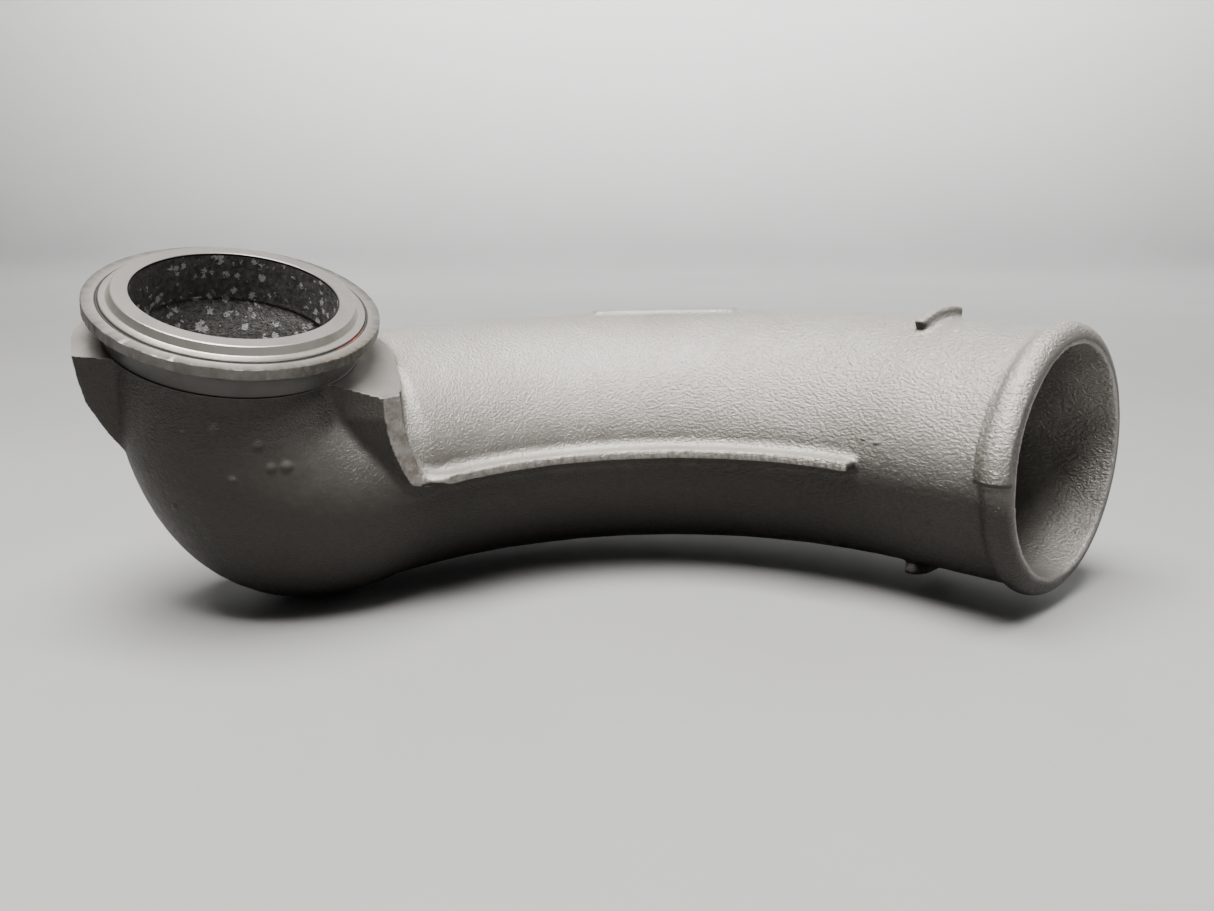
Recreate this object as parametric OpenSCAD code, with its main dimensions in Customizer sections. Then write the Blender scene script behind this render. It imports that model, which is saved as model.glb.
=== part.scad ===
// Cast pipe elbow: a clamp flange on a tight bend, then a long sweep to a beaded hose end.
// Millimetres. The origin is the centre of the hose end's face: +X points out of the hose
// end and +Z is square to the plane of the sweep. The casting is one piece of metal in
// life. Each of its formed or machined regions is a node here, and they meet face to face.

/* [Pipe] */
// Outer radius of the pipe
pipe_r = 50.8; // [48:0.1:54]
// Radius of the duct through the sweep and the hose end
duct_r = 45; // [42:0.1:46]
// Straight length of the hose end, from its face to the sweep
seat_len = 57; // [50:1:80]
// Radius of the sweep's centre line
sweep_r = 168; // [150:1:220]

/* [Hose end] */
// Crown radius of the bead
bead_r = 53.3; // [52:0.1:56]
// Length of the bead along the pipe
bead_len = 12; // [10:0.5:16]
// Radius of the bead's rounded crown
crown_round = 6; // [3:0.5:6]
// Height of a hose stop above the pipe
stop_h = 5.2; // [3:0.1:7]
// Thickness of a hose stop along the pipe
stop_t = 4.2; // [3:0.1:8]
// Angle that a hose stop covers round the pipe
stop_angle = 34; // [20:1:60]

/* [Clamp flange] */
// Centre of the flange face along X
flange_x = -222.3; // [-230:0.1:-215]
// Centre of the flange face along Y
flange_y = -217.7; // [-222:0.1:-212]
// Height of the flange face above the sweep's plane
flange_z = 71.7; // [70:0.1:80]
// Lean of the flange axis away from +Z
flange_lean = 20.8; // [15:0.1:25]
// Direction of that lean, measured from +X
flange_turn = -7; // [-12:0.5:0]
// Radius of the flange bore
bore_r = 37; // [34:0.5:39]
// Outer radius of the raised land
land_r = 43.2; // [42:0.1:44]
// Outer radius of the lower ring inside the seal groove
inner_ring_r = 46.8; // [46:0.1:47]
// Outer radius of the seal groove
groove_r = 47.9; // [47.6:0.1:48.5]
// Radius of the rim that the clamp holds
rim_r = 52.5; // [50:0.5:54]
// Radius of the machined band below the rim
band_r = 46; // [45:0.5:47]
// Outer radius of the cast neck where it meets the band
neck_r = 44.5; // [43:0.1:45]

/* [Ribs and webs] */
// Thickness of the rib on the inside of the sweep
rib_t = 4; // [3:0.5:6]
// How far the rib stands off the pipe
rib_out = 7.7; // [5:0.1:10]
// Where the rib ends near the hose end, in degrees of the sweep
rib_end = 2.5; // [1:0.5:10]
// Height of the blank label pad above the pipe
pad_h = 1.3; // [0.5:0.1:2]

/* [Hidden] */
$fn = 96;
sweep_angle = 90;

// Depths below the flange face
ring_d = 3.3;
groove_d = 5.4;
rim_d = 4;
rim_under_d = 8;
taper_end_d = 11.5;
band_d = 19;

// The seal lies on the groove's floor
seal_top_d = 4.2;
seal_gap = 0.1;

// The web and the wing stop just short of the flange's band
cut_gap = 0.02;

// Height of the rib's underside
rib_low = -2.5;

// The sweep turns about this point, and the bend starts at its far end
sweep_centre = [-seat_len, -sweep_r, 0];
split_angle = 45;
bend_start = sweep_centre + sweep_r * [-sin(sweep_angle), cos(sweep_angle), 0];
flange_axis = [
    sin(flange_lean) * cos(flange_turn),
    sin(flange_lean) * sin(flange_turn),
    cos(flange_lean)
];
neck_end = [flange_x, flange_y, flange_z] - band_d * flange_axis;

// Every cross-section of the bend lies in a plane through one pivot line
back_dir = [-cos(sweep_angle), -sin(sweep_angle), 0];
pivot_dir = cross(back_dir, flange_axis) / norm(cross(back_dir, flange_axis));
up_dir = cross(pivot_dir, back_dir);
start_reach = ((neck_end - bend_start) * flange_axis) / (up_dir * flange_axis);
pivot = bend_start + start_reach * up_dir;
fan_angle = acos(back_dir * flange_axis);
end_shift = (neck_end - pivot) * pivot_dir;
end_reach = norm(neck_end - pivot - end_shift * pivot_dir);
heel_bulge = 10.5;
rings = 24;
ring_points = 64;

function ease(t) = t * t * (3 - 2 * t);
function mix(a, b, t) = a + (b - a) * t;
function bulge(t) = pow(t, 1.4) * pow(1 - t, 2.1) / (pow(0.4, 1.4) * pow(0.6, 2.1));
function out_dir(t) = -cos(fan_angle * t) * up_dir + sin(fan_angle * t) * back_dir;
function heel(t, r0, r1) = mix(start_reach + r0, end_reach + r1, ease(t)) + heel_bulge * bulge(t);
function throat(t, r0, r1) = mix(start_reach - r0, end_reach - r1, t);
function section(t, r0, r1) =
    let (
        far = heel(t, r0, r1),
        near = throat(t, r0, r1),
        half_width = mix(r0, r1, ease(t)),
        middle = pivot + (far + near) / 2 * out_dir(t) + end_shift * ease(pow(t, 1.7)) * pivot_dir
    )
    [
        for (i = [0 : ring_points - 1])
            let (a = 360 * i / ring_points)
            middle + (far - near) / 2 * cos(a) * out_dir(t) + half_width * sin(a) * pivot_dir
    ];
function loft_points(r0, r1) = [
    for (k = [0 : rings])
        each section(k / rings, r0, r1)
];
// Two triangles for each cell of the skin between ring k and ring k + 1
function skin_faces(first, flip) = [
    for (k = [0 : rings - 1], i = [0 : ring_points - 1])
        let (
            j = (i + 1) % ring_points,
            a = first + k * ring_points + i,
            b = first + k * ring_points + j,
            c = b + ring_points,
            d = a + ring_points
        )
        each (flip ? [[a, c, b], [a, d, c]] : [[a, b, c], [a, c, d]])
];
// The flat end between an outer ring and an inner ring
function end_faces(outer, inner, flip) = [
    for (i = [0 : ring_points - 1])
        let (
            j = (i + 1) % ring_points,
            a = outer + i,
            b = outer + j,
            c = inner + j,
            d = inner + i
        )
        each (flip ? [[a, c, b], [a, d, c]] : [[a, b, c], [a, c, d]])
];

cast_colour = [0.62, 0.61, 0.59];
machined_colour = [0.74, 0.73, 0.71];
seal_colour = [0.55, 0.12, 0.08];

// Places children in the flange's frame: the face is z = 0 and +Z points out of it
module in_flange() {
    translate([flange_x, flange_y, flange_z])
        rotate([0, flange_lean, flange_turn])
            children();
}

// Turns children about the sweep's centre, from the hose end towards the bend
module at_sweep(angle) {
    translate(sweep_centre)
        rotate([0, 0, 90 + angle])
            children();
}

// A ring about the hose end's axis, from x = near down to x = far
module pipe_ring(near, far, r_out, r_in) {
    translate([far, 0, 0])
        rotate([0, 90, 0])
            difference() {
                cylinder(r = r_out, h = near - far);
                translate([0, 0, -1])
                    cylinder(r = r_in, h = near - far + 2);
            }
}

module sweep_segment(from, to) {
    at_sweep(from)
        rotate_extrude(angle = to - from)
            translate([sweep_r, 0])
                difference() {
                    circle(pipe_r);
                    circle(duct_r);
                }
}

// The pipe as a solid, to cut the pieces that stand on it
module sweep_core(from, to) {
    at_sweep(from)
        rotate_extrude(angle = to - from)
            translate([sweep_r, 0])
                circle(pipe_r);
}

module bend_core() {
    count = ring_points;
    last = rings * ring_points;
    polyhedron(
        points = loft_points(pipe_r, neck_r),
        faces = concat(
            skin_faces(0, false),
            [[for (i = [count - 1 : -1 : 0]) i]],
            [[for (i = [0 : count - 1]) last + i]]
        )
    );
}

// Everything below the plane of the clearance cut, just under the flange's band
module below_flange_cut() {
    in_flange()
        translate([-100, -100, -band_d - cut_gap - 100])
            cube([200, 200, 100]);
}

module clamp_flange() {
    color(machined_colour)
        in_flange()
            rotate_extrude()
                polygon([
                    [bore_r, 0],
                    [land_r, 0],
                    [land_r, -ring_d],
                    [inner_ring_r, -ring_d],
                    [inner_ring_r, -groove_d],
                    [groove_r, -groove_d],
                    [groove_r, -rim_d],
                    [rim_r, -rim_d],
                    [rim_r, -rim_under_d],
                    [band_r, -taper_end_d],
                    [bore_r, -taper_end_d]
                ]);
}

module flange_band() {
    color(machined_colour)
        in_flange()
            translate([0, 0, -band_d])
                difference() {
                    cylinder(r = band_r, h = band_d - taper_end_d);
                    translate([0, 0, -1])
                        cylinder(r = bore_r, h = band_d - taper_end_d + 2);
                }
}

module seal_ring() {
    color(seal_colour)
        in_flange()
            rotate_extrude()
                translate([inner_ring_r + seal_gap, -groove_d])
                    square([groove_r - inner_ring_r - 2 * seal_gap, groove_d - seal_top_d]);
}

module neck_bend() {
    size = (rings + 1) * ring_points;
    last = rings * ring_points;
    color(cast_colour)
        polyhedron(
            points = concat(loft_points(pipe_r, neck_r), loft_points(duct_r, bore_r)),
            faces = concat(
                skin_faces(0, false),
                skin_faces(size, true),
                end_faces(0, size, true),
                end_faces(last, size + last, false)
            )
        );
}

module sweep_rear() {
    color(cast_colour)
        sweep_segment(split_angle, sweep_angle);
}

module sweep_front() {
    color(cast_colour)
        sweep_segment(0, split_angle);
}

module hose_spigot() {
    color(cast_colour)
        pipe_ring(-bead_len, -seat_len, pipe_r, duct_r);
}

module hose_bead() {
    crown_x = bead_r - crown_round;
    color(cast_colour)
        rotate([0, 90, 0])
            rotate_extrude()
                difference() {
                    union() {
                        translate([duct_r, -2 * crown_round])
                            square([crown_x - duct_r, 2 * crown_round]);
                        translate([duct_r, -bead_len])
                            square([pipe_r - duct_r, bead_len - crown_round]);
                        translate([crown_x, -crown_round])
                            circle(crown_round);
                    }
                    square([2 * duct_r, 4 * bead_len], center = true);
                }
}

// One hose stop on top of the pipe, at the end of the hose's seat
module hose_stop() {
    stop_turn = 4;
    color(cast_colour)
        translate([-seat_len, 0, 0])
            rotate([0, 90, 0])
                rotate([0, 0, 180 + stop_turn - stop_angle / 2])
                    rotate_extrude(angle = stop_angle)
                        translate([pipe_r, 0])
                            square([stop_h, stop_t]);
}

module upper_hose_stop() {
    hose_stop();
}

module lower_hose_stop() {
    mirror([0, 0, 1])
        hose_stop();
}

// The rib lies along the parting line, a little low, on the inside of the sweep
module side_rib() {
    rib_inner = sweep_r - pipe_r - rib_out;
    color(cast_colour)
        at_sweep(rib_end)
            rotate_extrude(angle = sweep_angle - rib_end)
                difference() {
                    translate([rib_inner, rib_low])
                        square([rib_out + 2, rib_t]);
                    translate([sweep_r, 0])
                        circle(pipe_r);
                }
}

// The rib turns upwards into a fin beside the neck, and metal fills in behind the fin
module throat_web() {
    fin_x = -172.5;
    fin_depth = 32;
    rib_x = -seat_len - (sweep_r - pipe_r - rib_out);
    face_turn = 40;
    color(cast_colour)
        difference() {
            union() {
                intersection() {
                    union() {
                        translate([fin_x - fin_depth, 0, 0])
                            rotate([90, 0, 90])
                                linear_extrude(fin_depth)
                                    polygon([
                                        [-220, rib_low],
                                        [-sweep_r, rib_low],
                                        [-sweep_r, rib_low + rib_t],
                                        [-174.4, rib_low + rib_t],
                                        [-177.4, 5.8],
                                        [-180.2, 13.7],
                                        [-182.9, 23.9],
                                        [-184.6, 50],
                                        [-220, 50]
                                    ]);
                        translate([0, 0, rib_low])
                            linear_extrude(60)
                                polygon([
                                    [-200, -216],
                                    [fin_x - 1, -196],
                                    [fin_x - 1, -186],
                                    [-176, -181],
                                    [-185, -174.5],
                                    [-197.5, -168.4],
                                    [-209, -165.5],
                                    [-222, -168],
                                    [-222, -216]
                                ]);
                    }
                    translate([fin_x, 0, 0])
                        rotate([90, 0, 90 + face_turn])
                            linear_extrude(400, center = true)
                                scale([cos(face_turn), 1])
                                    polygon([
                                        [-189.6, 70],
                                        [-189.6, 26],
                                        [-188.2, 17.5],
                                        [-186.1, 11.5],
                                        [-183.3, 5],
                                        [-180.8, 0.8],
                                        [-178, rib_low - 1],
                                        [-80, rib_low - 1],
                                        [-80, 70]
                                    ]);
                    below_flange_cut();
                }
                translate([0, 0, rib_low])
                    linear_extrude(rib_t)
                        polygon([
                            [fin_x - 10, -sweep_r],
                            [rib_x, -sweep_r],
                            [rib_x - 0.2, -sweep_r - 4],
                            [fin_x, -177],
                            [fin_x - 10, -177]
                        ]);
            }
            bend_core();
            sweep_core(60, sweep_angle);
        }
}

// A wedge on the outside of the neck, with a flat front and a top cut level with the web's
module heel_wing() {
    depth = 70;
    profile_turn = -105;
    color(cast_colour)
        difference() {
            in_flange()
                intersection() {
                    translate([0, 0, -band_d - cut_gap - depth])
                        linear_extrude(depth)
                            polygon([
                                [8, -38],
                                [-0.8, -57.6],
                                [-5.3, -57.1],
                                [-12.6, -54.7],
                                [-19.9, -51.3],
                                [-27, -45.9],
                                [-31, -38],
                                [-25, -30]
                            ]);
                    rotate([0, 0, profile_turn])
                        rotate([90, 0, 0])
                            linear_extrude(120, center = true)
                                polygon([
                                    [20, -74],
                                    [33, -64.5],
                                    [38, -58.5],
                                    [41.4, -54],
                                    [44.1, -50.5],
                                    [47, -46],
                                    [51.7, -37.5],
                                    [54, -29.3],
                                    [55.6, -21],
                                    [56.6, -15],
                                    [56.6, 0],
                                    [20, 0]
                                ]);
                }
            bend_core();
        }
}

// A blank raised pad over the top of the sweep
module label_pad() {
    color(cast_colour)
        at_sweep(31)
            rotate_extrude(angle = 21)
                translate([sweep_r, 0])
                    difference() {
                        intersection() {
                            circle(pipe_r + pad_h);
                            polygon([
                                [0, 0],
                                [-0.09 * 80, 80],
                                [0.7 * 80, 80]
                            ]);
                        }
                        circle(pipe_r);
                    }
}

clamp_flange();
flange_band();
seal_ring();
neck_bend();
sweep_rear();
sweep_front();
hose_spigot();
hose_bead();
upper_hose_stop();
lower_hose_stop();
side_rib();
throat_web();
heel_wing();
label_pad();
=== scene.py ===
"""Looks of the cast pipe elbow, in metres, in the same frame as the CAD.

The casting is one piece of metal in life, so the CAD's cast regions are joined, remeshed and
filleted here as one skin, and cut flat under the flange. The turned flange and the seal are two
crisp rings in the flange's own frame.
"""

import math

import bmesh
import bpy
import numpy as np
from mathutils import Matrix, Vector, noise


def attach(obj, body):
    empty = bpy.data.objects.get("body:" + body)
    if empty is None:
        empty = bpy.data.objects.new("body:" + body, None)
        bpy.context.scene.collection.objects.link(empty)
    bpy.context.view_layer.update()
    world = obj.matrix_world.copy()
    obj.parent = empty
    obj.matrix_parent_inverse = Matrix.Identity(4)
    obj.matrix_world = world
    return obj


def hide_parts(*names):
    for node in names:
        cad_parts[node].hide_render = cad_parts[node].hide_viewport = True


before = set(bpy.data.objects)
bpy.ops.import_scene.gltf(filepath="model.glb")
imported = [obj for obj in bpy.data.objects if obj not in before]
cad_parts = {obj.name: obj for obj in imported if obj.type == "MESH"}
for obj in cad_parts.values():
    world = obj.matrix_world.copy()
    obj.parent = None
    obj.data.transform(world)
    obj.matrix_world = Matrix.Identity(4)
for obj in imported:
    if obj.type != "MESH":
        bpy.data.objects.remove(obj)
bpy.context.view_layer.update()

MM = 0.001

# How finely the cast skin and the turned rings are made
VOXEL = 0.85 * MM
FILLET_ROUNDS = 70
CORNER_ROUNDS = 30
FLANGE_STEPS = 720
SEAL_STEPS = 480

# The part's own measures, as in the CAD
PIPE_R = 50.8 * MM
DUCT_R = 45 * MM
SEAT_LEN = 57 * MM
SWEEP_R = 168 * MM
RIB_OUT = 7.7 * MM
FIN_X = -172.5 * MM
BORE_R = 37 * MM
BAND_D = 19 * MM
NECK_R = 44.5 * MM
HEEL_BULGE = 10.5 * MM
FLANGE_CENTRE = Vector((-222.3, -217.7, 71.7)) * MM
FLANGE_LEAN = math.radians(20.8)
FLANGE_TURN = math.radians(-7)
SWEEP_CENTRE = Vector((-SEAT_LEN, -SWEEP_R, 0))

TO_ROW = (
    Matrix.Translation(FLANGE_CENTRE)
    @ Matrix.Rotation(FLANGE_TURN, 4, "Z")
    @ Matrix.Rotation(FLANGE_LEAN, 4, "Y")
)
FLANGE_AXIS = (TO_ROW.to_3x3() @ Vector((0, 0, 1))).normalized()

# How the cast skin is shaped here
FILLET_R = 7 * MM
BORE_GAP = 0.4 * MM
LEDGE_OUT = 1.6 * MM
PEEL_SIZE = 1.9 * MM
WAVE_SIZE = 14 * MM
PATCH_SIZE = 30 * MM
PIMPLE_GAIN = 1.35

# The skin is made too long at the cut and at the fin's edge, and then cut and ground back
PAST_CUT = 3 * MM
PAST_FIN = 1.2 * MM
CUT_LIMIT_Y = -158 * MM
GRIND_LIMIT_Y = -176.5 * MM
GRIND_LOW_Z = -1 * MM
GRIND_TOP_Z = 42 * MM
HATCH_DEPTH = 0.05 * MM
FIN_CORNER = (-170 * MM, -175 * MM, -1.5 * MM)
CORNER_REACH = 9 * MM

CAST_NODES = [
    "neck_bend",
    "sweep_rear",
    "sweep_front",
    "hose_spigot",
    "hose_bead",
    "upper_hose_stop",
    "lower_hose_stop",
    "side_rib",
    "throat_web",
    "heel_wing",
    "label_pad",
]


def smoothstep(start, end, value):
    """0 up to the start and 1 past the end, with a smooth change between them.

    The start may be the larger of the two, and then it counts downwards.
    """
    t = np.clip((value - start) / (end - start), 0, 1)
    return t * t * (3 - 2 * t)


def link(name, data):
    obj = bpy.data.objects.new(name, data)
    bpy.context.scene.collection.objects.link(obj)
    return obj


# ---------------------------------------------------------------- cast body


def coordinates(mesh):
    co = np.empty(len(mesh.vertices) * 3)
    mesh.vertices.foreach_get("co", co)
    return co.reshape(-1, 3)


def set_coordinates(mesh, co):
    mesh.vertices.foreach_set("co", co.reshape(-1))
    mesh.update()


def normals(mesh):
    out = np.empty(len(mesh.vertices) * 3)
    mesh.vertices.foreach_get("normal", out)
    return out.reshape(-1, 3)


def smooth_shaded(mesh):
    mesh.polygons.foreach_set("use_smooth", [True] * len(mesh.polygons))


def depth_below_face(co):
    """How far each point lies below the flange face, along the flange's axis."""
    return -(co - np.array(FLANGE_CENTRE)) @ np.array(FLANGE_AXIS)


def out_from_axis(co):
    """The vector to each point from the flange's axis, square to it, and its length."""
    arm = co - np.array(FLANGE_CENTRE)
    across = arm - (arm @ np.array(FLANGE_AXIS))[:, None] * np.array(FLANGE_AXIS)
    return across, np.linalg.norm(across, axis=1)


def in_flange_frame(co):
    """Each point in the flange's own frame, and its angle round the axis in degrees."""
    local = (co - np.array(FLANGE_CENTRE)) @ np.array(TO_ROW.to_3x3())
    return local, np.degrees(np.arctan2(local[:, 1], local[:, 0]))


def joined_copy():
    """One mesh of every cast CAD node, each grown a little where it is cut or ground later."""
    bm = bmesh.new()
    for name in CAST_NODES:
        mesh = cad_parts[name].data.copy()
        co = coordinates(mesh)
        at_cut = np.abs(depth_below_face(co) - BAND_D) < 0.1 * MM
        if name in ("neck_bend", "throat_web", "heel_wing"):
            co[at_cut] += PAST_CUT * np.array(FLANGE_AXIS)
        if name == "throat_web":
            co[np.abs(co[:, 0] - FIN_X) < 0.1 * MM, 0] += PAST_FIN
        set_coordinates(mesh, co)
        bm.from_mesh(mesh)
        bpy.data.meshes.remove(mesh)
    mesh = bpy.data.meshes.new("cast_body")
    bm.to_mesh(mesh)
    bm.free()
    return mesh


def remesh(obj):
    """Turns the joined solids into one closed skin."""
    mod = obj.modifiers.new("skin", "REMESH")
    mod.mode = "VOXEL"
    mod.voxel_size = VOXEL
    mod.adaptivity = 0
    graph = bpy.context.evaluated_depsgraph_get()
    new = bpy.data.meshes.new_from_object(obj.evaluated_get(graph))
    obj.modifiers.clear()
    old = obj.data
    obj.data = new
    bpy.data.meshes.remove(old)


def neighbours(mesh):
    """The two ends of every edge, and how many edges meet at each vertex."""
    ends = np.empty(len(mesh.edges) * 2, dtype=np.int64)
    mesh.edges.foreach_get("vertices", ends)
    degree = np.maximum(np.bincount(ends, minlength=len(mesh.vertices)), 1)
    return ends.reshape(-1, 2), degree


def neighbour_mean(co, ends, degree):
    """The average of each vertex's neighbours."""
    count = len(co)
    out = np.empty_like(co)
    for axis in range(3):
        column = co[:, axis]
        out[:, axis] = np.bincount(ends[:, 0], column[ends[:, 1]], count)
        out[:, axis] += np.bincount(ends[:, 1], column[ends[:, 0]], count)
    return out / degree[:, None]


def soften(mesh):
    """Rounds every corner a little, and fills the inside corners to about the fillet radius."""
    co = coordinates(mesh)
    ends, degree = neighbours(mesh)
    for _ in range(2):
        co += 0.5 * (neighbour_mean(co, ends, degree) - co)
    least = VOXEL * VOXEL / (4 * FILLET_R)
    for step in range(FILLET_ROUNDS):
        pull = neighbour_mean(co, ends, degree) - co
        if step % 10 == 0:
            set_coordinates(mesh, co)
            out = normals(mesh)
        hollow = np.einsum("ij,ij->i", pull, out)
        fill = np.clip(hollow - least, 0, None)
        fill[np.hypot(co[:, 1], co[:, 2]) < DUCT_R + 1 * MM] *= 0.2
        co += 0.9 * fill[:, None] * out
        smooth = 0.05 * smoothstep(0, 3 * least, hollow)[:, None]
        co += smooth * pull
    set_coordinates(mesh, co)


def sweep_radius(co):
    """Each point's distance in plan from the centre of the sweep."""
    return np.hypot(co[:, 0] - SWEEP_CENTRE.x, co[:, 1] - SWEEP_CENTRE.y)


def bend_share(co):
    """0 in the middle of the duct through the bend and 1 at the middle of its wall.

    The bend's sections all lie in planes through one pivot line, as in the CAD.
    """
    axis = np.array(FLANGE_AXIS)
    back = np.array((0.0, -1.0, 0.0))
    start = np.array((SWEEP_CENTRE.x - SWEEP_R, SWEEP_CENTRE.y, 0.0))
    neck_end = np.array(FLANGE_CENTRE) - BAND_D * axis
    across = np.cross(back, axis)
    across /= np.linalg.norm(across)
    up = np.cross(across, back)
    start_reach = ((neck_end - start) @ axis) / (up @ axis)
    pivot = start + start_reach * up
    fan = math.acos(back @ axis)
    shift = (neck_end - pivot) @ across
    end_reach = np.linalg.norm(neck_end - pivot - shift * across)
    arm = co - pivot
    side = arm @ across
    flat = arm - side[:, None] * across
    t = np.clip(np.arctan2(flat @ back, -(flat @ up)) / fan, 0, 1)
    ease = t * t * (3 - 2 * t)
    bulge = t**1.4 * (1 - t) ** 2.1 / (0.4**1.4 * 0.6**2.1)
    r0, r1 = (PIPE_R + DUCT_R) / 2, (NECK_R + BORE_R) / 2
    far = start_reach + r0 + (end_reach + r1 - start_reach - r0) * ease + HEEL_BULGE * bulge
    near = start_reach - r0 + (end_reach - r1 - start_reach + r0) * t
    half_width = r0 + (r1 - r0) * ease
    late = np.power(t, 1.7)
    middle_side = shift * late * late * (3 - 2 * late)
    reach = np.linalg.norm(flat, axis=1)
    lengthways = (reach - (far + near) / 2) / ((far - near) / 2)
    return np.hypot(lengthways, (side - middle_side) / half_width)


def wall_share(co):
    """Below 1 inside the duct's wall and above 1 outside it, anywhere along the way."""
    mid_wall = (PIPE_R + DUCT_R) / 2
    in_sweep = np.hypot(sweep_radius(co) - SWEEP_R, co[:, 2]) / mid_wall
    straight = np.hypot(co[:, 1], co[:, 2]) / mid_wall
    out = np.where(co[:, 0] > SWEEP_CENTRE.x, straight, in_sweep)
    bend = co[:, 1] < SWEEP_CENTRE.y
    out[bend] = bend_share(co[bend])
    return out


def fractal(points, scale, octaves):
    """Smooth noise at each point, mostly between -1 and 1, with features of that size."""
    return np.array([noise.fractal(Vector(p) / scale, 0.6, 2.1, octaves) for p in points])


# Casting pimples on the neck, and the scars near the hose end: place, radius and height in mm
PIMPLES = [
    ((-199, -244, 27.5), 2.2, 0.55),
    ((-207, -251, 27.0), 1.0, 0.35),
    ((-192, -231, 20.5), 1.9, 0.4),
    ((-190, -228, 12.5), 1.9, 0.4),
    ((-188, -223, 12.3), 2.2, 0.55),
    ((-198, -239, 9.0), 1.6, 0.4),
    ((-219, -252, -2.0), 1.5, 0.3),
    ((-60, -49.9, 10.0), 1.2, 0.35),
    ((-54, -49.9, 9.0), 1.2, 0.3),
    ((-41, -15.5, 48.3), 1.3, -0.4),
]


def peel_strength(co):
    """How far the orange peel stands out, in mm: most on the bead and on the pipe near it."""
    reach = np.hypot(co[:, 1], co[:, 2])
    outside = reach > DUCT_R + 1 * MM
    near_end = smoothstep(-150 * MM, -20 * MM, co[:, 0])
    far_end = smoothstep(-165 * MM, -110 * MM, co[:, 0])
    strength = 0.02 + 0.035 * far_end + 0.04 * near_end
    strength += 0.015 * fractal(co - 0.7, PATCH_SIZE, 1)
    in_hose_end = (co[:, 0] > -SEAT_LEN) & (reach < DUCT_R + 1 * MM)
    strength *= 1 - 0.6 * in_hose_end
    bead_top = smoothstep(-14 * MM, -10 * MM, co[:, 0]) * smoothstep(0, 15 * MM, co[:, 2])
    strength += 0.11 * bead_top * (co[:, 1] < 0) * outside
    off_lip = smoothstep(-1 * MM, -5 * MM, co[:, 0])
    return strength * (0.2 + 0.8 * off_lip)


def pimple_heights(co):
    """How far the casting pimples lift each point. Each sits on the skin's nearest vertex."""
    lift = np.zeros(len(co))
    for place, radius, height in PIMPLES:
        centre = co[np.argmin(np.linalg.norm(co - np.array(place) * MM, axis=1))]
        away = np.linalg.norm(co - centre, axis=1) / (radius * MM)
        lift += PIMPLE_GAIN * height * MM * np.exp(-2.2 * away**4)
    return lift


def parting_ledge(co):
    """The mould's halves don't quite meet on the bead, and leave a ledge at mid height."""
    on_bead = smoothstep(-13.5 * MM, -12 * MM, co[:, 0]) * (co[:, 1] < 0)
    outer = np.hypot(co[:, 1], co[:, 2]) > PIPE_R - 2 * MM
    rise = smoothstep(0.6 * MM, 1.3 * MM, co[:, 2])
    fade = 1 - smoothstep(4 * MM, 46 * MM, co[:, 2])
    return LEDGE_OUT * on_bead * outer * rise * fade


def cast_skin(co):
    """How far each point of the skin moves out: orange peel, waves, pimples and the ledge."""
    peel = fractal(co * np.array((1.0, 1.0, 1.5)), PEEL_SIZE, 2)
    ridged = 1 - 2 * np.abs(peel)
    move = peel_strength(co) * (0.65 * peel + 0.35 * ridged) * MM
    move += 0.1 * fractal(co + 0.3, WAVE_SIZE, 2) * MM
    return move + pimple_heights(co) + parting_ledge(co)


def grind(co):
    """Flattens the ground edge of the fin and leaves the grinder's marks across it."""
    fin = (co[:, 0] > FIN_X) & (co[:, 1] < GRIND_LIMIT_Y)
    fin &= (co[:, 2] < GRIND_TOP_Z) & (co[:, 2] > GRIND_LOW_Z)
    hatch = HATCH_DEPTH * np.sin(co[:, 2] / (0.55 * MM) + co[:, 1] / (0.8 * MM))
    co[fin, 0] = FIN_X + hatch[fin]
    return co


def open_bore(co):
    """Opens the neck's bore a hair at the cut, so that the band's bore covers the cut edge."""
    across, radius = out_from_axis(co)
    in_bore = (radius > BORE_R - 4 * MM) & (radius < BORE_R + 2 * MM)
    share = in_bore * (1 - smoothstep(0, 6 * MM, depth_below_face(co) - BAND_D))
    return co + (BORE_GAP * share / np.maximum(radius, MM))[:, None] * across


def round_fin_corner(mesh):
    """Smooths the skin round the fin's foot, so that its edge and the rib's meet in a curve."""
    co = coordinates(mesh)
    ends, degree = neighbours(mesh)
    away = np.linalg.norm(co - np.array(FIN_CORNER), axis=1)
    share = (1 - smoothstep(0.5 * CORNER_REACH, CORNER_REACH, away))[:, None]
    for _ in range(CORNER_ROUNDS):
        co += 0.7 * share * (neighbour_mean(co, ends, degree) - co)
    set_coordinates(mesh, co)


def cut_flat(obj):
    """Cuts the skin off square to the flange's axis, under the machined band, and closes it."""
    bm = bmesh.new()
    bm.from_mesh(obj.data)
    place = FLANGE_CENTRE - BAND_D * FLANGE_AXIS
    faces = [f for f in bm.faces if all(v.co.y < CUT_LIMIT_Y for v in f.verts)]
    edges = list({e for f in faces for e in f.edges})
    verts = list({v for f in faces for v in f.verts})
    result = bmesh.ops.bisect_plane(
        bm,
        geom=verts + edges + faces,
        plane_co=place,
        plane_no=FLANGE_AXIS,
        clear_outer=True,
        dist=1e-7,
    )
    rim = [e for e in result["geom_cut"] if isinstance(e, bmesh.types.BMEdge)]
    filled = bmesh.ops.triangle_fill(
        bm, use_beauty=True, use_dissolve=False, edges=rim, normal=FLANGE_AXIS
    )
    flats = [f for f in filled["geom"] if isinstance(f, bmesh.types.BMFace)]
    for f in flats:
        f.smooth = False
        near_bore = all((v.co - place).length < NECK_R + 2 * MM for v in f.verts)
        f.material_index = 0 if near_bore else 1
    bm.to_mesh(obj.data)
    bm.free()


def inside_share(co, out):
    """1 on the duct's wall, which looks towards the middle of the duct, and 0 on the outside."""
    share = wall_share(co)
    looks_in = wall_share(co + 0.5 * MM * out) < share
    return (1 - smoothstep(0.985, 1.005, share)) * looks_in


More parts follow.
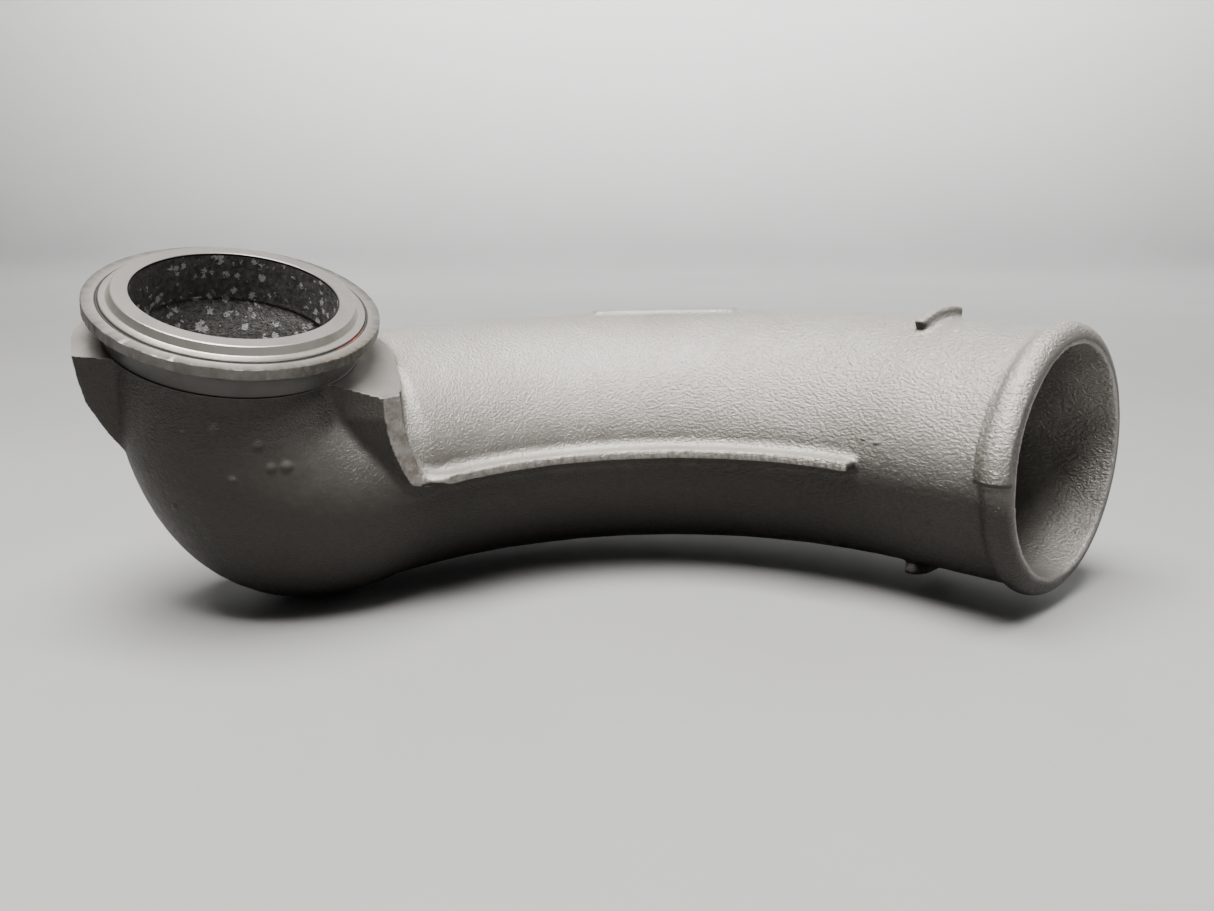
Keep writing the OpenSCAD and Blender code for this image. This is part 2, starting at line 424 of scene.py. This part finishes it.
def build_cast_body():
    obj = link("cast_body", joined_copy())
    remesh(obj)
    mesh = obj.data
    soften(mesh)
    co = coordinates(mesh)
    co += cast_skin(co)[:, None] * normals(mesh)
    co[:, 0] = np.minimum(co[:, 0], 0)
    set_coordinates(mesh, open_bore(grind(co)))
    round_fin_corner(mesh)
    smooth_shaded(mesh)
    cut_flat(obj)
    return obj


# ---------------------------------------------------------------- turned flange


def lathe(name, outline, steps, wobble=None):
    """A closed ring in the flange's frame from an outline of (radius, height) points."""
    bm = bmesh.new()
    rings = []
    for i in range(steps):
        a = 2 * math.pi * i / steps
        ring = []
        for k, (r, z) in enumerate(outline):
            if wobble is not None:
                dr, dz = wobble(k, a)
                r, z = r + dr, z + dz
            local = Vector((r * math.cos(a), r * math.sin(a), z)) * MM
            ring.append(bm.verts.new(TO_ROW @ local))
        rings.append(ring)
    count = len(outline)
    for i in range(steps):
        here, after = rings[i], rings[(i + 1) % steps]
        for k in range(count):
            n = (k + 1) % count
            bm.faces.new((here[k], after[k], after[n], here[n]))
    bmesh.ops.recalc_face_normals(bm, faces=bm.faces)
    mesh = bpy.data.meshes.new(name)
    bm.to_mesh(mesh)
    bm.free()
    smooth_shaded(mesh)
    mesh.set_sharp_from_angle(angle=math.radians(30))
    return link(name, mesh)


def chamfered(points, cut):
    """The outline with every corner replaced by a small flat."""
    out = []
    count = len(points)
    for i, p in enumerate(points):
        before, after = points[i - 1], points[(i + 1) % count]
        for other in (before, after):
            dx, dy = other[0] - p[0], other[1] - p[1]
            length = math.hypot(dx, dy)
            step = min(cut, 0.3 * length)
            out.append((p[0] + dx / length * step, p[1] + dy / length * step))
    return out


# Outlines as radius and height in mm, in the flange's frame. The land is the raised ring round
# the bore, and the band's foot reaches a little into the casting.
RIM_TOP = (52.5, -4)
RIM_FOOT = (52.5, -8)
FLANGE_OUTLINE = [
    (37, -2.5),
    (37, -0.9),
    (37, 0),
    (42.9, 0),
    (44.2, -3.3),
    (46.8, -3.3),
    (46.8, -5.4),
    (47.9, -5.4),
    (47.9, -4),
    RIM_TOP,
    RIM_FOOT,
    (46, -11.5),
    (45.6, -18.2),
    (46.2, -18.5),
    (46.2, -19),
    (43.5, -19),
    (43, -19.4),
    (37, -19.4),
    (37, -8),
]
FLANGE_CHAMFER = 0.25
SEAL_OUTLINE = [(46.9, -5.4), (47.8, -5.4), (47.8, -4.2), (46.9, -4.2)]
SEAL_CHAMFER = 0.2
# chamfered() gives two points for each corner of the outline
RIM_TOP_POINTS = [2 * FLANGE_OUTLINE.index(RIM_TOP) + side for side in (0, 1)]
RIM_FOOT_POINTS = [2 * FLANGE_OUTLINE.index(RIM_FOOT) + side for side in (0, 1)]


def rim_wobble(k, a):
    """The rim's outer wall is left rough: its points wander in and out, most at the foot."""
    if k in RIM_TOP_POINTS:
        reach = 0.12
    elif k in RIM_FOOT_POINTS:
        reach = 0.26
    else:
        return 0, 0
    p = Vector((math.cos(a) * 9, math.sin(a) * 9, k * 0.7))
    outward = reach * noise.fractal(p * 1.4, 0.7, 2.0, 4)
    upward = 0.6 * reach * noise.fractal(p * 2.1, 0.7, 2.0, 3)
    return outward, upward


# ---------------------------------------------------------------- materials


def new_material(name):
    mat = bpy.data.materials.new(name)
    mat.use_nodes = True
    tree = mat.node_tree
    shader = tree.nodes["Principled BSDF"]
    return mat, tree, shader


def add(tree, kind, **values):
    node = tree.nodes.new(kind)
    for key, value in values.items():
        setattr(node, key, value)
    return node


def attribute(tree, name):
    """A value painted on the mesh, from 0 to 1."""
    return add(tree, "ShaderNodeAttribute", attribute_name=name).outputs["Fac"]


def object_place(tree):
    return add(tree, "ShaderNodeTexCoord").outputs["Object"]


def noise_node(tree, place, scale, detail=4.0, rough=0.6):
    node = add(tree, "ShaderNodeTexNoise")
    node.inputs["Scale"].default_value = scale
    node.inputs["Detail"].default_value = detail
    node.inputs["Roughness"].default_value = rough
    tree.links.new(place, node.inputs["Vector"])
    return node.outputs["Fac"]


def stretched_place(tree, place, scale, rotation):
    node = add(tree, "ShaderNodeMapping")
    node.inputs["Scale"].default_value = scale
    node.inputs["Rotation"].default_value = rotation
    tree.links.new(place, node.inputs["Vector"])
    return node.outputs["Vector"]


def warped_place(tree, place, scale, reach):
    """The place pushed about by a noise, for cells with uneven outlines."""
    warp = add(tree, "ShaderNodeTexNoise")
    warp.inputs["Scale"].default_value = scale
    tree.links.new(place, warp.inputs["Vector"])
    push = add(tree, "ShaderNodeVectorMath", operation="SCALE")
    push.inputs["Scale"].default_value = reach
    tree.links.new(warp.outputs["Color"], push.inputs[0])
    total = add(tree, "ShaderNodeVectorMath", operation="ADD")
    tree.links.new(place, total.inputs[0])
    tree.links.new(push.outputs[0], total.inputs[1])
    return total.outputs[0]


def ramp(tree, value, stops):
    node = add(tree, "ShaderNodeValToRGB")
    elements = node.color_ramp.elements
    elements[0].position, elements[0].color = stops[0][0], (*stops[0][1], 1)
    elements[1].position, elements[1].color = stops[-1][0], (*stops[-1][1], 1)
    for position, colour in stops[1:-1]:
        elements.new(position).color = (*colour, 1)
    tree.links.new(value, node.inputs["Fac"])
    return node.outputs["Color"]


def mix_colour(tree, share, a, b):
    node = add(tree, "ShaderNodeMix", data_type="RGBA")
    for socket, value in ((node.inputs[0], share), (node.inputs[6], a), (node.inputs[7], b)):
        if isinstance(value, bpy.types.NodeSocket):
            tree.links.new(value, socket)
        elif isinstance(value, tuple):
            socket.default_value = (*value, 1)
        else:
            socket.default_value = value
    return node.outputs[2]


def maths(tree, operation, a, b=0.0):
    node = add(tree, "ShaderNodeMath", operation=operation)
    for socket, value in zip(node.inputs, (a, b)):
        if isinstance(value, bpy.types.NodeSocket):
            tree.links.new(value, socket)
        else:
            socket.default_value = value
    return node.outputs[0]


def bump(tree, height, strength, distance, normal=None):
    node = add(tree, "ShaderNodeBump")
    node.inputs["Strength"].default_value = strength
    node.inputs["Distance"].default_value = distance
    tree.links.new(height, node.inputs["Height"])
    if normal is not None:
        tree.links.new(normal, node.inputs["Normal"])
    return node.outputs["Normal"]


def grey(value, warm=0.0):
    """A grey, warmed by that share."""
    return (value * (1 + warm), value, value * (1 - 1.4 * warm))


def skin_colour(tree, broad, fine):
    """Blasted metal, with painted shade on the faces that look down or sideways."""
    tones = [(0.3, grey(0.38, 0.055)), (0.5, grey(0.43, 0.05)), (0.72, grey(0.48, 0.045))]
    skin = ramp(tree, broad, tones)
    skin = mix_colour(tree, maths(tree, "MULTIPLY", fine, 0.35), skin, grey(0.2, 0.06))
    # Painted shade: near black mixed in by the painted share of faces that look down or sideways.
    painted_shade = maths(tree, "MULTIPLY", attribute(tree, "painted_shade"), 0.94)
    return mix_colour(tree, painted_shade, skin, grey(0.032, 0.09))


def crust_colour(tree, place, fine):
    """Black deposit with pale crystals in uneven clusters."""
    crust = add(tree, "ShaderNodeTexVoronoi", feature="F1")
    crust.inputs["Scale"].default_value = 360
    tree.links.new(warped_place(tree, place, 1100, 0.0035), crust.inputs["Vector"])
    cells = add(tree, "ShaderNodeSeparateColor")
    tree.links.new(crust.outputs["Color"], cells.inputs["Color"])
    picked = maths(tree, "GREATER_THAN", cells.outputs[0], 0.5)
    size = maths(tree, "MULTIPLY", cells.outputs[1], 0.62)
    near = maths(tree, "LESS_THAN", crust.outputs["Distance"], size)
    clusters = maths(tree, "GREATER_THAN", noise_node(tree, place, 45, 3), 0.44)
    crystal = maths(tree, "MULTIPLY", maths(tree, "MULTIPLY", picked, near), clusters)
    black = ramp(tree, fine, [(0.35, grey(0.035)), (0.7, grey(0.15, 0.06))])
    return mix_colour(tree, maths(tree, "MULTIPLY", crystal, 0.9), black, grey(0.5))


def ground_colour(tree, place):
    """Bare metal with the grinder's streaks."""
    along = stretched_place(tree, place, (1.0, 0.35, 0.35), (0.8, 0.0, 0.6))
    scratches = noise_node(tree, along, 750, 3, 0.6)
    return ramp(tree, scratches, [(0.36, grey(0.22, 0.09)), (0.64, grey(0.40, 0.05))])


def cast_bump(tree, place):
    """Long orange peel where it was painted, and a fine grain everywhere."""
    along = stretched_place(tree, place, (0.55, 0.8, 1.0), (0.3, 0.4, 0.5))
    peel = maths(tree, "MULTIPLY", noise_node(tree, along, 1050, 2, 0.5), attribute(tree, "peeled"))
    leather = bump(tree, peel, 0.8, 0.0009)
    return bump(tree, noise_node(tree, place, 1250, 3, 0.7), 1.0, 0.0005, leather)


def cast_material():
    """Bead-blasted cast metal, dark and crusted inside the flange end of the duct."""
    mat, tree, shader = new_material("cast_metal")
    place = object_place(tree)
    broad = noise_node(tree, place, 22, 3)
    fine = noise_node(tree, place, 520, 4, 0.65)
    soot = attribute(tree, "soot")
    inner = ramp(tree, broad, [(0.35, grey(0.24, 0.05)), (0.65, grey(0.42, 0.05))])
    colour = mix_colour(tree, attribute(tree, "duct"), skin_colour(tree, broad, fine), inner)
    colour = mix_colour(tree, soot, colour, crust_colour(tree, place, fine))
    ground = maths(tree, "MULTIPLY", attribute(tree, "ground"), 0.9)
    colour = mix_colour(tree, ground, colour, ground_colour(tree, place))
    tree.links.new(colour, shader.inputs["Base Color"])
    clean = maths(tree, "SUBTRACT", 1.0, soot)
    tree.links.new(maths(tree, "MULTIPLY", clean, 0.95), shader.inputs["Metallic"])
    rough = ramp(tree, fine, [(0.3, grey(0.40)), (0.7, grey(0.54))])
    tree.links.new(rough, shader.inputs["Roughness"])
    tree.links.new(cast_bump(tree, place), shader.inputs["Normal"])
    return mat


def stain_share(tree, place):
    """Ragged patches inside the places painted as stained."""
    stain = attribute(tree, "stain")
    blotch = noise_node(tree, place, 420, 6, 0.75)
    spread = maths(tree, "ADD", blotch, maths(tree, "MULTIPLY", stain, 0.14))
    return maths(tree, "MULTIPLY", stain, maths(tree, "GREATER_THAN", spread, 0.56))


def crumbs(tree, place):
    """The brown deposit, from nearly black to tan."""
    near_black, brown, tan = (0.02, 0.014, 0.008), (0.09, 0.06, 0.03), (0.30, 0.23, 0.12)
    grains = noise_node(tree, place, 700, 3)
    return ramp(tree, grains, [(0.38, near_black), (0.52, brown), (0.66, tan)])


def machined_material(name, base, soil):
    """Smooth metal of that base grey, smudged, with a brown deposit as strong as soil says."""
    mat, tree, shader = new_material(name)
    place = object_place(tree)
    smudge = noise_node(tree, place, 60, 5, 0.65)
    fine = noise_node(tree, place, 900, 3)
    dull, bright = grey(base * 0.72, 0.06), grey(base * 1.1, 0.05)
    colour = ramp(tree, smudge, [(0.3, dull), (0.52, grey(base, 0.05)), (0.75, bright)])
    colour = mix_colour(tree, maths(tree, "MULTIPLY", fine, 0.25), colour, grey(base * 0.5, 0.03))
    stained = stain_share(tree, place)
    colour = mix_colour(tree, maths(tree, "MULTIPLY", stained, soil), colour, crumbs(tree, place))
    # Where painted dark: soot in the bore, and painted shade in the groove and under the rim.
    colour = mix_colour(tree, attribute(tree, "dark"), colour, grey(0.035, 0.05))
    tree.links.new(colour, shader.inputs["Base Color"])
    clean = maths(tree, "SUBTRACT", 1.0, maths(tree, "MULTIPLY", stained, 0.8))
    tree.links.new(maths(tree, "MULTIPLY", clean, 0.9), shader.inputs["Metallic"])
    rough = ramp(tree, smudge, [(0.3, grey(0.48)), (0.7, grey(0.36))])
    tree.links.new(rough, shader.inputs["Roughness"])
    tree.links.new(bump(tree, fine, 0.2, 0.0001), shader.inputs["Normal"])
    return mat


def seal_material():
    """Red where the seal is left, and near-black painted shade in the rest of the groove."""
    mat, tree, shader = new_material("seal")
    place = object_place(tree)
    worn = noise_node(tree, place, 220, 4)
    red = ramp(tree, worn, [(0.38, (0.17, 0.03, 0.02)), (0.6, (0.06, 0.025, 0.02))])
    # Painted shade: the seal is near black in the groove wherever no red is left.
    colour = mix_colour(tree, attribute(tree, "left"), grey(0.02, 0.03), red)
    tree.links.new(colour, shader.inputs["Base Color"])
    shader.inputs["Roughness"].default_value = 0.8
    tree.links.new(bump(tree, worn, 0.4, 0.0003), shader.inputs["Normal"])
    return mat


def floor_material():
    """Pale grey underfoot, and paler up the backdrop."""
    mat, tree, shader = new_material("pale_floor")
    place = object_place(tree)
    tone = ramp(tree, noise_node(tree, place, 3, 4), [(0.3, grey(0.30)), (0.7, grey(0.33))])
    split = add(tree, "ShaderNodeSeparateXYZ")
    tree.links.new(place, split.inputs[0])
    height = ramp(tree, split.outputs[2], [(0.02, grey(0)), (0.5, grey(1))])
    tone = mix_colour(tree, height, tone, grey(0.85, 0.01))
    tree.links.new(tone, shader.inputs["Base Color"])
    shader.inputs["Roughness"].default_value = 0.7
    return mat


# ---------------------------------------------------------------- painting by place


def paint(mesh, name, values):
    layer = mesh.attributes.new(name, "FLOAT", "POINT")
    layer.data.foreach_set("value", values.astype(np.float32))


def ground_places(co, out):
    """1 on the fin's edge, the rib's edge and the corner between them."""
    fin = (np.abs(co[:, 0] - FIN_X) < 0.12 * MM) & (co[:, 1] < CUT_LIMIT_Y)
    rib_edge = SWEEP_R - PIPE_R - RIB_OUT
    rib = 1 - smoothstep(rib_edge + 0.4 * MM, rib_edge + 1.3 * MM, sweep_radius(co))
    rib *= (np.abs(co[:, 2]) < 4 * MM) & (co[:, 0] < -40 * MM)
    rib *= co[:, 1] > FLANGE_CENTRE.y + 40 * MM
    corner = np.linalg.norm(co - np.array(FIN_CORNER), axis=1) < CORNER_REACH
    corner &= (out[:, 0] > 0.75) & (co[:, 2] > -1.8 * MM)
    return np.maximum(np.maximum(fin, rib), corner)


def paint_cast(obj):
    """Marks the duct, its sooty end, the ground edges, the peel and the painted shade on faces that
    look down or sideways.
    """
    mesh = obj.data
    co = coordinates(mesh)
    out = normals(mesh)
    duct = inside_share(co, out)
    at_cut = np.abs(depth_below_face(co) - BAND_D) < 1 * MM
    duct[at_cut & (out_from_axis(co)[1] < BORE_R + 3 * MM)] = 1
    paint(mesh, "duct", duct)
    paint(mesh, "soot", duct * smoothstep(-150 * MM, -190 * MM, co[:, 1]))
    paint(mesh, "ground", ground_places(co, out))
    paint(mesh, "peeled", 0.45 + 0.55 * smoothstep(-165 * MM, -110 * MM, co[:, 0]))
    on_neck = smoothstep(-160 * MM, -200 * MM, co[:, 1])
    # Painted shade: strongest on faces that look down or sideways, and reaching further up the
    # neck's sides.
    paint(mesh, "painted_shade", 1 - smoothstep(-0.2, 0.35 + 0.6 * on_neck, out[:, 2]))


def paint_flange(obj):
    """Marks the brown deposit, painted shade in the groove and under the rim, a darker rim wall,
    and the sooty bore.
    """
    mesh = obj.data
    co = coordinates(mesh)
    local, angle = in_flange_frame(co)
    radius = np.hypot(local[:, 0], local[:, 1])
    right = 1 - smoothstep(14, 30, np.abs(angle - 24))
    below = smoothstep(7.5 * MM, 8.2 * MM, -local[:, 2])
    wall = smoothstep(52 * MM, 52.4 * MM, radius)
    paint(mesh, "stain", np.clip(right * np.maximum(below, wall) + 0.25 * wall, 0, 1))
    bore = radius < 37.3 * MM
    low = smoothstep(0.2 * MM, 0.5 * MM, -local[:, 2])
    paint(mesh, "soot", bore * low)
    paint(mesh, "duct", bore * low)
    # The dark paint joins the soot in the bore with painted shade in the groove and on the band and
    # underside below the rim, and darkens the rim's outer wall.
    groove = (radius > 46.7 * MM) & (radius < 48 * MM) & (local[:, 2] < -4.3 * MM)
    under = 0.92 * below * smoothstep(44 * MM, 45 * MM, radius) + 0.75 * wall * (1 - below)
    paint(mesh, "dark", np.clip(bore * low + 0.95 * groove + under, 0, 1))
    for face in mesh.polygons:
        if all(bore[v] and local[v, 2] < -0.7 * MM for v in face.vertices):
            face.material_index = 1


def paint_seal(obj):
    """The seal's red is left on one stretch of the groove and at one spot opposite."""
    angle = in_flange_frame(coordinates(obj.data))[1]
    stretch = 1 - smoothstep(10, 15, np.abs(angle - 38))
    spot = 1 - smoothstep(1.5, 3, np.abs(angle + 127))
    paint(obj.data, "left", np.maximum(stretch, spot))


# ---------------------------------------------------------------- assembly


def dress(obj, materials, slot_name, *nodes):
    for mat in materials:
        obj.data.materials.append(mat)
    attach(obj, "root")
    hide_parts(*nodes)


cast = build_cast_body()
paint_cast(cast)
crusted = cast_material()
flat_metal = machined_material("ground_flat", 0.42, 0.0)
dress(cast, [crusted, flat_metal], "cast_metal", *CAST_NODES)

turned = machined_material("turned_metal", 0.45, 0.9)
flange_outline = chamfered(FLANGE_OUTLINE, FLANGE_CHAMFER)
flange = lathe("turned_flange", flange_outline, FLANGE_STEPS, rim_wobble)
paint_flange(flange)
dress(flange, [turned, crusted], "machined_metal", "clamp_flange", "flange_band")

seal = lathe("seal", chamfered(SEAL_OUTLINE, SEAL_CHAMFER), SEAL_STEPS)
paint_seal(seal)
dress(seal, [seal_material()], "seal", "seal_ring")


# ---------------------------------------------------------------- stage

FLOOR_NORMAL = Vector((0.0172, 0.0166, 0.9997)).normalized()
FLOOR_OFFSET = float((coordinates(cast.data) @ np.array(FLOOR_NORMAL)).min())


def build_floor():
    """A pale floor that curves up into a backdrop behind the object."""
    half_width, front, start, radius, height = 5.0, -3.0, 1.7, 0.5, 3.0
    steps = 12
    profile = [(front, 0.0), (start, 0.0)]
    for i in range(1, steps + 1):
        a = math.radians(90 * i / steps)
        profile.append((start + radius * math.sin(a), radius * (1 - math.cos(a))))
    profile.append((start + radius, height))
    bm = bmesh.new()
    rows = [[bm.verts.new((x, y, z)) for y, z in profile] for x in (-half_width, half_width)]
    for k in range(len(profile) - 1):
        bm.faces.new((rows[0][k], rows[1][k], rows[1][k + 1], rows[0][k + 1]))
    mesh = bpy.data.meshes.new("floor")
    bm.to_mesh(mesh)
    bm.free()
    smooth_shaded(mesh)
    obj = link("floor", mesh)
    turn = Vector((0, 0, 1)).rotation_difference(FLOOR_NORMAL).to_matrix().to_4x4()
    face_camera = Matrix.Rotation(math.radians(44), 4, "Z")
    obj.matrix_world = Matrix.Translation(FLOOR_NORMAL * FLOOR_OFFSET) @ turn @ face_camera
    mesh.materials.append(floor_material())
    return obj


def area_light(name, place, target, size, power, colour=(1, 1, 1)):
    data = bpy.data.lights.new(name, "AREA")
    data.shape = "RECTANGLE"
    data.size, data.size_y = size
    data.energy = power
    data.color = colour
    obj = link(name, data)
    obj.location = place
    obj.rotation_euler = (Vector(target) - Vector(place)).to_track_quat("-Z", "Y").to_euler()
    return obj


floor = build_floor()
middle = (-0.13, -0.1, 0.0)
lights = [
    area_light("ceiling", (-0.02, -0.36, 1.3), middle, (0.9, 0.8), 66, (1.0, 0.985, 0.96)),
    area_light("window", (0.3, 1.1, 0.9), middle, (1.2, 0.6), 5),
    area_light("backdrop", (-0.9, 0.95, 0.95), (-1.4, 1.5, 0.25), (2.4, 0.3), 38),
]


def build_world():
    """A dim, even light from every side."""
    world = bpy.data.worlds.new("studio")
    world.use_nodes = True
    background = world.node_tree.nodes["Background"]
    background.inputs["Color"].default_value = (0.86, 0.86, 0.85, 1)
    background.inputs["Strength"].default_value = 0.09
    bpy.context.scene.world = world


CAMERA_PLACE = Vector((0.17231, -0.4261, 0.11147))
CAMERA_RIGHT = Vector((0.7161, 0.6976, -0.0239)).normalized()
CAMERA_UP = Vector((-0.1502, 0.1875, 0.9707))
CAMERA_LENS = 34.10


def build_camera():
    """Looks back at the elbow from beyond the hose end, a little above it."""
    back = CAMERA_RIGHT.cross(CAMERA_UP).normalized()
    up = back.cross(CAMERA_RIGHT)
    data = bpy.data.cameras.new("camera")
    data.sensor_width = 36
    data.lens = CAMERA_LENS
    obj = link("camera", data)
    turn = Matrix((CAMERA_RIGHT, up, back)).transposed().to_4x4()
    obj.matrix_world = Matrix.Translation(CAMERA_PLACE) @ turn
    bpy.context.scene.camera = obj


build_world()
build_camera()
